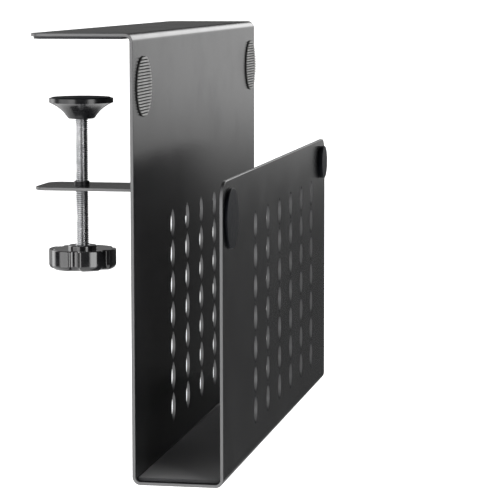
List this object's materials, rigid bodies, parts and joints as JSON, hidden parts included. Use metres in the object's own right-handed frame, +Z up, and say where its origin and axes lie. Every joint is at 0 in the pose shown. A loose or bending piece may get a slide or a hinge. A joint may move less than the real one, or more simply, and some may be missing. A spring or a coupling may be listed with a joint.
{
  "type": "computer case desk holder",
  "caption": "Desk-edge holder for a slim computer: a bent perforated steel sheet with a top flange and a padded tray, held on by screw clamps with swivel feet and star knobs.",
  "frame": {"origin": "centre of the underside of the flange pad, the face that rests on the desk top", "axes": "+Z up; +X out from the desk's edge towards the tray; +Y along the desk's edge, from the near clamp to the far clamp"},
  "size_m": [0.1235, 0.3952, 0.274],
  "materials": {
    "sheet": "satin black powder coat",
    "arm": "satin black powder coat",
    "collar": "black oxide",
    "pad_foam": "closed-cell foam, fine grain",
    "grip": "moulded ribs, matt",
    "bumper": "smooth, semi-gloss",
    "foot_plastic": "moulded, semi-gloss",
    "foot_rubber": "matt",
    "steel": "bright zinc plate",
    "knob_plastic": "glossy moulded"
  },
  "bodies": {
    "holder": {"holder_body": "sheet", "flange_pad": "pad_foam", "tray_pad": "pad_foam", "grip_disc_near": "grip", "grip_disc_far": "grip", "bumper_disc_near": "bumper", "bumper_disc_far": "bumper", "clamp_arm_near": "arm", "clamp_collar_near": "collar", "clamp_arm_far": "arm", "clamp_collar_far": "collar"},
    "foot_near": {"foot_cup_near": "foot_plastic", "foot_pad_near": "foot_rubber", "foot_washer_near": "steel"},
    "screw_near": {"clamp_screw_near": "steel", "star_knob_near": "knob_plastic", "knob_insert_near": "steel"},
    "foot_far": {"foot_cup_far": "foot_plastic", "foot_pad_far": "foot_rubber", "foot_washer_far": "steel"},
    "screw_far": {"clamp_screw_far": "steel", "star_knob_far": "knob_plastic", "knob_insert_far": "steel"}
  },
  "joints": [
    {"name": "clamp_travel_near", "type": "slide", "parent": "holder", "child": "foot_near", "axis": [0, 0, 1], "range_m": [-0.037, 0.033]},
    {"name": "screw_turn_near", "type": "hinge", "parent": "foot_near", "child": "screw_near", "pos_m": [-0.0044, -0.169, 0], "axis": [0, 0, 1], "range_deg": [-10656, 9504]},
    {"name": "clamp_travel_far", "type": "slide", "parent": "holder", "child": "foot_far", "axis": [0, 0, 1], "range_m": [-0.037, 0.033]},
    {"name": "screw_turn_far", "type": "hinge", "parent": "foot_far", "child": "screw_far", "pos_m": [-0.0044, 0.169, 0], "axis": [0, 0, 1], "range_deg": [-10656, 9504]}
  ],
  "couplings": [
    {"joint": "screw_turn_near", "follows": "clamp_travel_near", "rad_per_m": 5026.5},
    {"joint": "screw_turn_far", "follows": "clamp_travel_far", "rad_per_m": 5026.5}
  ]
}
